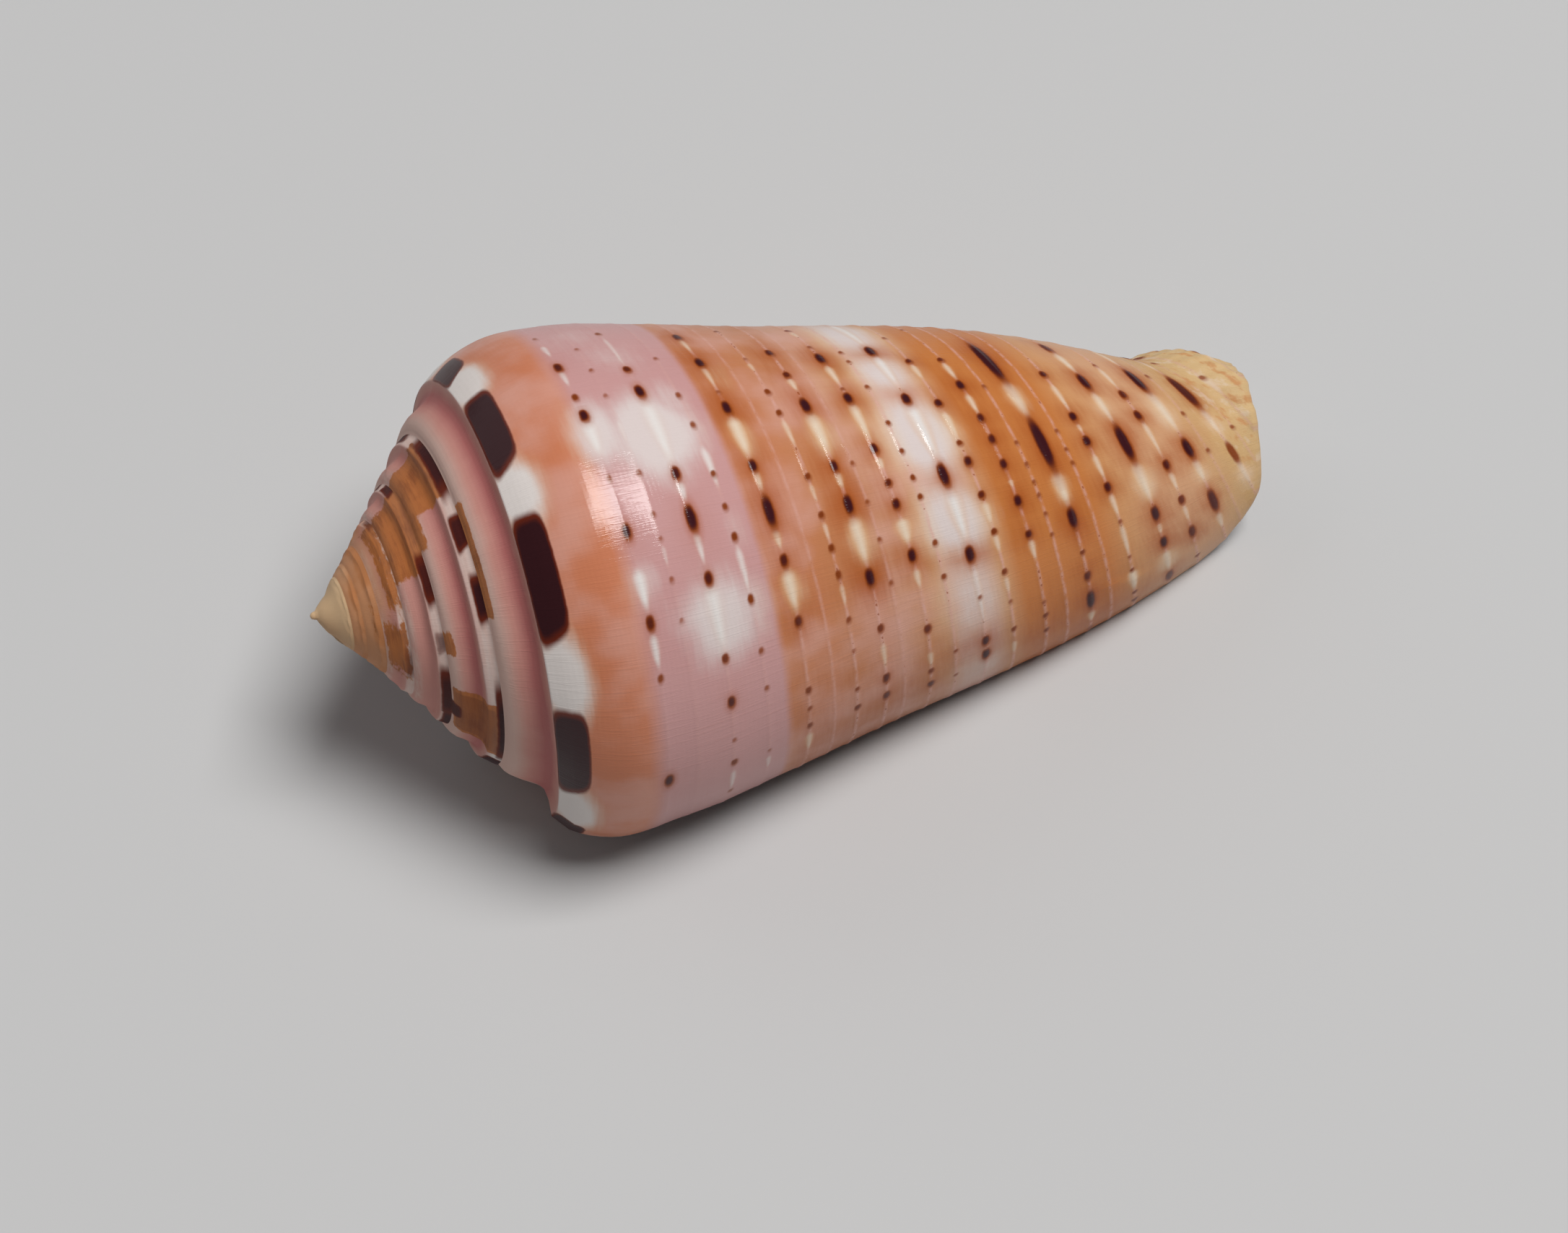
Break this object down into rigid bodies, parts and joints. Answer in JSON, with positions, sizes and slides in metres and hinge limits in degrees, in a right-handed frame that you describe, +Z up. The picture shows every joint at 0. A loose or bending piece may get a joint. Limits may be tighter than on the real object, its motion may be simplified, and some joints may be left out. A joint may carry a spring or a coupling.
{
  "type": "cone shell (conus aurisiacus)",
  "caption": "Cone-shaped sea shell with a low stepped spire, a long straight-sided last whorl and a narrow aperture, lying aperture down.",
  "frame": {"origin": "on the ground plane, under the middle of the bounding box of the shell as it lies", "axes": "+X from the spire to the anterior end, along the ground; +Z up; the lip is on the -Y side"},
  "size_m": [0.0648, 0.0328, 0.0296],
  "materials": {
    "shell": "gloss"
  },
  "bodies": {
    "root": {"shell": "shell"}
  },
  "joints": []
}
